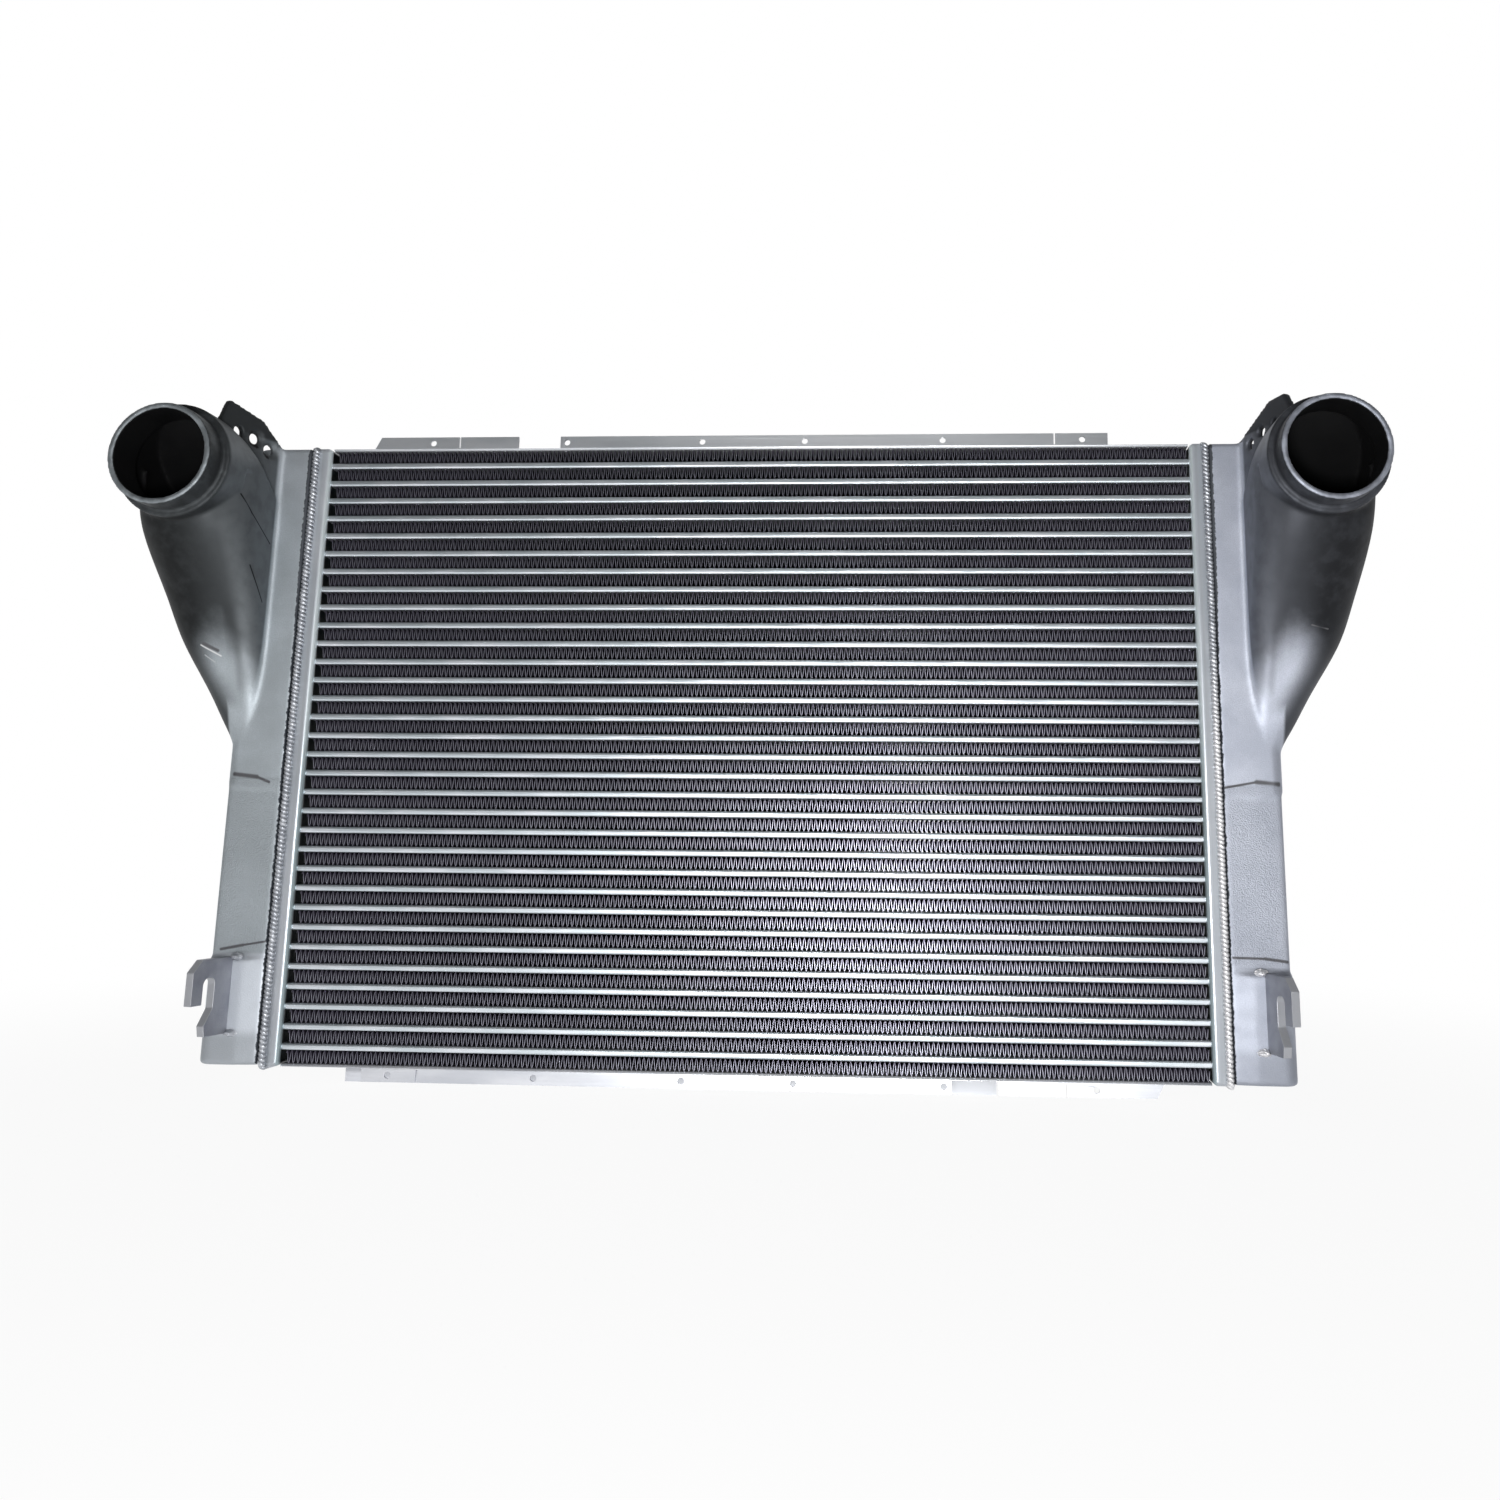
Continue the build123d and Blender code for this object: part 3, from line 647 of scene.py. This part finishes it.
for side, looks in CASTINGS.items():
    name = f"{side}_tank"
    fit_piece(cast_copy(name), CastFinish(f"{side} casting", *looks).material, "casting", name)


# ---- welds round the header plates ----
# The tank is welded to the pan of the header plate all the way round, in one bead whose ripples
# lie slantwise like the lay of a rope, a little uneven and brighter than the casting, with painted
# shade in the valleys between the ripples.

ripple_step = 0.0042
ripple_radius = 0.0044
ripple_slant = 38.0
ripple_shape = (1.0, 0.78, 0.62)
bead_corner = 0.006
bead_inset = ripple_radius * 0.66
bead_lower = 0.0018
seam_shift = 0.0010
CORNER_STEPS = 4
bead_dull, bead_light = (0.40, 0.42, 0.46), (0.64, 0.66, 0.70)
# The second tone of this line is painted shade for the valleys between ripples.
bead_pale, valley_shade = (0.90, 0.89, 0.90), (0.13, 0.14, 0.16)

weld_finish = Finish("weld bead", metallic=0.6, roughness=0.42)
weld_tone = weld_finish.grain(160, detail=3.0).between(0.35, 0.7)
valley_shade_mask = weld_finish.node("ShaderNodeAttribute", {"attribute_name": "valley"}, {},
                               output="Fac")
weld_place = weld_finish.place()
weld_low = 1 - weld_place.part("Z").between(0.32, 0.46)
weld_pale = weld_low * weld_place.part("X").between(-0.1, 0.1)
weld_metal = weld_finish.mix(weld_tone, bead_dull, bead_light)
weld_metal = weld_finish.mix(weld_pale * 0.8, weld_metal, bead_pale)
# Painted shade in the valleys between ripples, weaker low down.
weld_finish.set("Base Color", weld_finish.mix(
    valley_shade_mask.between(0.45, 0.85) * (0.85 - weld_low * 0.6), weld_metal, valley_shade))
weld_finish.bump(weld_finish.grain(700, detail=2.0), 0.0003)

beads = Pattern("rippled bead", {
    "Path": "NodeSocketObject", "Step": "NodeSocketFloat", "Radius": "NodeSocketFloat",
    "Slant": "NodeSocketFloat", "Seed": "NodeSocketInt"})
size = beads.sizes
path = beads.node("GeometryNodeObjectInfo", {}, {"Object": size["Path"]}, output="Geometry")
stops = {output: beads.node("GeometryNodeCurveToPoints", {"mode": "LENGTH"}, {
    "Curve": path, "Length": size["Step"]}, output) for output in ("Points", "Rotation")}
swell = beads.node("FunctionNodeRandomValue", {"data_type": "FLOAT"}, {
    2: 0.94, 3: 1.08, "Seed": size["Seed"]}, output=1)
sway = beads.node("FunctionNodeRandomValue", {"data_type": "FLOAT"}, {
    2: -3.0, 3: 3.0, "Seed": size["Seed"] + 7}, output=1)
lean = beads.node("FunctionNodeAxisAngleToRotation", {}, {
    "Axis": (0.0, 1.0, 0.0), "Angle": (size["Slant"] + sway) * math.radians(1)})
ripple = beads.node("GeometryNodeMeshUVSphere", {}, {
    "Segments": 12, "Rings": 7, "Radius": size["Radius"]})
ripple = beads.node("GeometryNodeStoreNamedAttribute", {"data_type": "FLOAT", "domain": "POINT"}, {
    "Geometry": ripple, "Name": "valley", "Value": abs(beads.here().part("Z")) / size["Radius"]})
ripple = beads.node("GeometryNodeTransform", {}, {"Geometry": ripple, "Scale": ripple_shape})
chain = beads.node("GeometryNodeInstanceOnPoints", {}, {
    "Points": stops["Points"], "Instance": ripple, "Scale": swell,
    "Rotation": beads.node("FunctionNodeRotateRotation", {"rotation_space": "LOCAL"},
                           {0: stops["Rotation"], 1: lean})})
beads.finish(chain, weld_finish.material)


def bead_path(node):
    """Round-cornered loop that lies in the corner of pan and tank, all round the joint."""
    low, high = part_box(node)
    seam = (low.x + high.x) / 2
    seam -= math.copysign(seam_shift, seam)
    front, back = low.y + bead_corner, high.y - bead_corner
    bottom, top = low.z + bead_corner, high.z - bead_corner - bead_lower
    radius = bead_corner - bead_inset
    points = []
    for y, z, start in (
            (back, top, 0), (front, top, 90), (front, bottom, 180), (back, bottom, 270)):
        for step in range(CORNER_STEPS + 1):
            angle = math.radians(start + step * 90 / CORNER_STEPS)
            points.append((seam, y + radius * math.cos(angle), z + radius * math.sin(angle)))
    curve = bpy.data.curves.new(node + "_path", "CURVE")
    curve.dimensions = "3D"
    loop = curve.splines.new("POLY")
    loop.points.add(len(points) - 1)
    for point, place in zip(loop.points, points):
        point.co = (*place, 1.0)
    loop.use_cyclic_u = True
    carrier = bpy.data.objects.new(node + "_path", curve)
    bpy.context.scene.collection.objects.link(carrier)
    return carrier


for seed, side in enumerate(("left", "right")):
    name = f"{side}_tank_weld"
    path_object = bead_path(name)
    bead = beads.grow(name + "_finished", {
        "Path": path_object, "Step": ripple_step, "Radius": ripple_radius,
        "Slant": ripple_slant, "Seed": seed})
    bpy.data.objects.remove(path_object)
    bead.data.shade_smooth()
    fit_piece(bead, weld_finish.material, "weld", name)


# ---- lower brackets and their welds ----
# A hook sawn from thick plate stands on the pad of each tank, held by a lump of weld round each end
# of its foot. The plate is duller than the casting, and its sawn edges are bright.

plate_edge = 0.0006
plate_dull, plate_light, plate_sawn = (0.23, 0.24, 0.28), (0.32, 0.33, 0.37), (0.42, 0.43, 0.46)

plate_finish = Finish("bracket plate", metallic=0.45, roughness=0.45)
plate_cloud = plate_finish.grain(40, detail=4.0).between(0.3, 0.7)
facing = plate_finish.node("ShaderNodeNewGeometry", {}, {}, output="Normal").part("Y")
plate_finish.set("Base Color", plate_finish.mix(
    abs(facing).between(0.35, 0.6), plate_finish.mix(plate_cloud, plate_dull, plate_light),
    plate_sawn))
plate_finish.bump(plate_finish.grain(600, detail=2.0), 0.0002)
for side in ("left", "right"):
    name = f"{side}_lower_bracket"
    hook = smooth_copy(name, 30.0)
    rounded = hook.modifiers.new("edges", "BEVEL")
    rounded.width = plate_edge
    rounded.segments = 2
    rounded.limit_method = "ANGLE"
    fit_piece(keep_flats(hook), plate_finish.material, "bracket_plate", name)

lump_voxel = 0.0007
lump_softness = 6
lump_waves = 420.0
lump_relief = 0.0013
lump_size = 0.015
lump_flatness = 0.55

for side in ("left", "right"):
    name = f"{side}_bracket_welds"
    lumps = smooth_copy(name)
    remesh = lumps.modifiers.new("skin", "REMESH")
    remesh.mode = "VOXEL"
    remesh.voxel_size = lump_voxel
    smooth = lumps.modifiers.new("softened", "SMOOTH")
    smooth.iterations = lump_softness
    lumps.data = mesh = baked(lumps)
    lumps.modifiers.clear()
    low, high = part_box(name)
    middle = (low.z + high.z) / 2
    for vertex in mesh.vertices:
        centre = high.z - lump_size / 2 if vertex.co.z > middle else low.z + lump_size / 2
        wave = noise.noise(Vector(vertex.co) * lump_waves)
        vertex.co += vertex.normal * (lump_relief * (wave - 0.3))
        vertex.co.z = centre + (vertex.co.z - centre) * lump_flatness
    mesh.shade_smooth()
    fit_piece(lumps, weld_finish.material, "weld", name)


# ---- floor, light and camera ----
# A plain white floor and a white room that is darker on the camera's side, where one soft lamp
# stands beside the camera. The floor keeps the shadow near the object.

floor_size = 30.0
shadow_start, shadow_end = 0.5, 1.6
shadow_share = 0.07

floor_finish = Finish("pale floor", metallic=0.0, roughness=0.9)
floor_finish.set("Base Color", (0.9, 0.9, 0.9))


def seen(work):
    """1 on rays that show the surroundings, straight or by a reflection, and 0 on other light."""
    ray = {output: work.node("ShaderNodeLightPath", {}, {}, output)
           for output in ("Is Camera Ray", "Is Glossy Ray", "Is Transmission Ray")}
    return ray["Is Camera Ray"].greater(ray["Is Glossy Ray"]).greater(ray["Is Transmission Ray"])


glow = floor_finish.node("ShaderNodeEmission", {}, {"Color": (1, 1, 1)})
far = floor_finish.node("ShaderNodeVectorMath", {"operation": "LENGTH"}, {
    0: floor_finish.place()}, output="Value").between(shadow_start, shadow_end)
floor_finish.feed(floor_finish.end.inputs[0], floor_finish.node("ShaderNodeMixShader", {}, {
    0: seen(floor_finish) * (1 - shadow_share + far * shadow_share),
    1: Value(floor_finish, floor_finish.shader.outputs[0]), 2: glow}))
floor_mesh = bpy.data.meshes.new("floor")
floor_mesh.from_pydata(
    [(-floor_size, -floor_size, 0), (floor_size, -floor_size, 0),
     (floor_size, floor_size, 0), (-floor_size, floor_size, 0)], [], [(0, 1, 2, 3)])
floor_mesh.materials.append(floor_finish.material)
floor = bpy.data.objects.new("floor", floor_mesh)
bpy.context.scene.collection.objects.link(floor)

ambient = 0.16
dark_side = 0.1
world = bpy.data.worlds.new("studio")
bpy.context.scene.world = world
world.use_nodes = True
room = NodeWork(world.node_tree)
room.tree.nodes.clear()
behind = room.node("ShaderNodeTexCoord", {}, {}, output="Generated").part("Y").between(0.0, 0.7)
straight = room.node("ShaderNodeLightPath", {}, {}, output="Is Camera Ray")
shown = straight.greater(behind * (1 - dark_side) + dark_side)
strength = seen(room) * shown + (1 - seen(room)) * ambient
sky = room.node("ShaderNodeBackground", {}, {"Color": (1, 1, 1), "Strength": strength})
room.feed(room.tree.nodes.new("ShaderNodeOutputWorld").inputs[0], sky)


def lamp(name, place, aim, width, watts):
    """Square soft lamp that faces a point."""
    light = bpy.data.lights.new(name, "AREA")
    light.size = width
    light.energy = watts
    holder = bpy.data.objects.new(name, light)
    holder.location = place
    holder.rotation_mode = "QUATERNION"
    holder.rotation_quaternion = (Vector(aim) - Vector(place)).to_track_quat("-Z", "Y")
    bpy.context.scene.collection.objects.link(holder)


lamp("beside the camera", (0.09, -1.30, 0.085), (0.0, 0.0, 0.32), 0.22, 16.0)
lamp("overhead", (0.0, -0.8, 2.2), (0.0, 0.0, 0.3), 1.6, 2.0)

camera_place = (0.1812, -1.2440, 0.2459)
camera_rise = math.radians(10.5)
camera_turn = math.radians(3.2)
camera_roll = math.radians(0.61)
camera = bpy.data.objects.new("camera", bpy.data.cameras.new("camera"))
camera.data.sensor_width = 36.0
camera.data.lens = 30.7
camera.data.shift_x = -0.0707
camera.data.shift_y = -0.0987
forwards = Vector((-math.sin(camera_turn) * math.cos(camera_rise),
                   math.cos(camera_turn) * math.cos(camera_rise), math.sin(camera_rise)))
level = forwards.cross(Vector((0, 0, 1))).normalized()
upright = level.cross(forwards)
across = level * math.cos(camera_roll) + upright * math.sin(camera_roll)
up = upright * math.cos(camera_roll) - level * math.sin(camera_roll)
camera.matrix_world = Matrix.Translation(camera_place) @ Matrix(
    (across, up, -forwards)).transposed().to_4x4()
bpy.context.scene.collection.objects.link(camera)
bpy.context.scene.camera = camera
bpy.context.scene.view_settings.view_transform = "Standard"
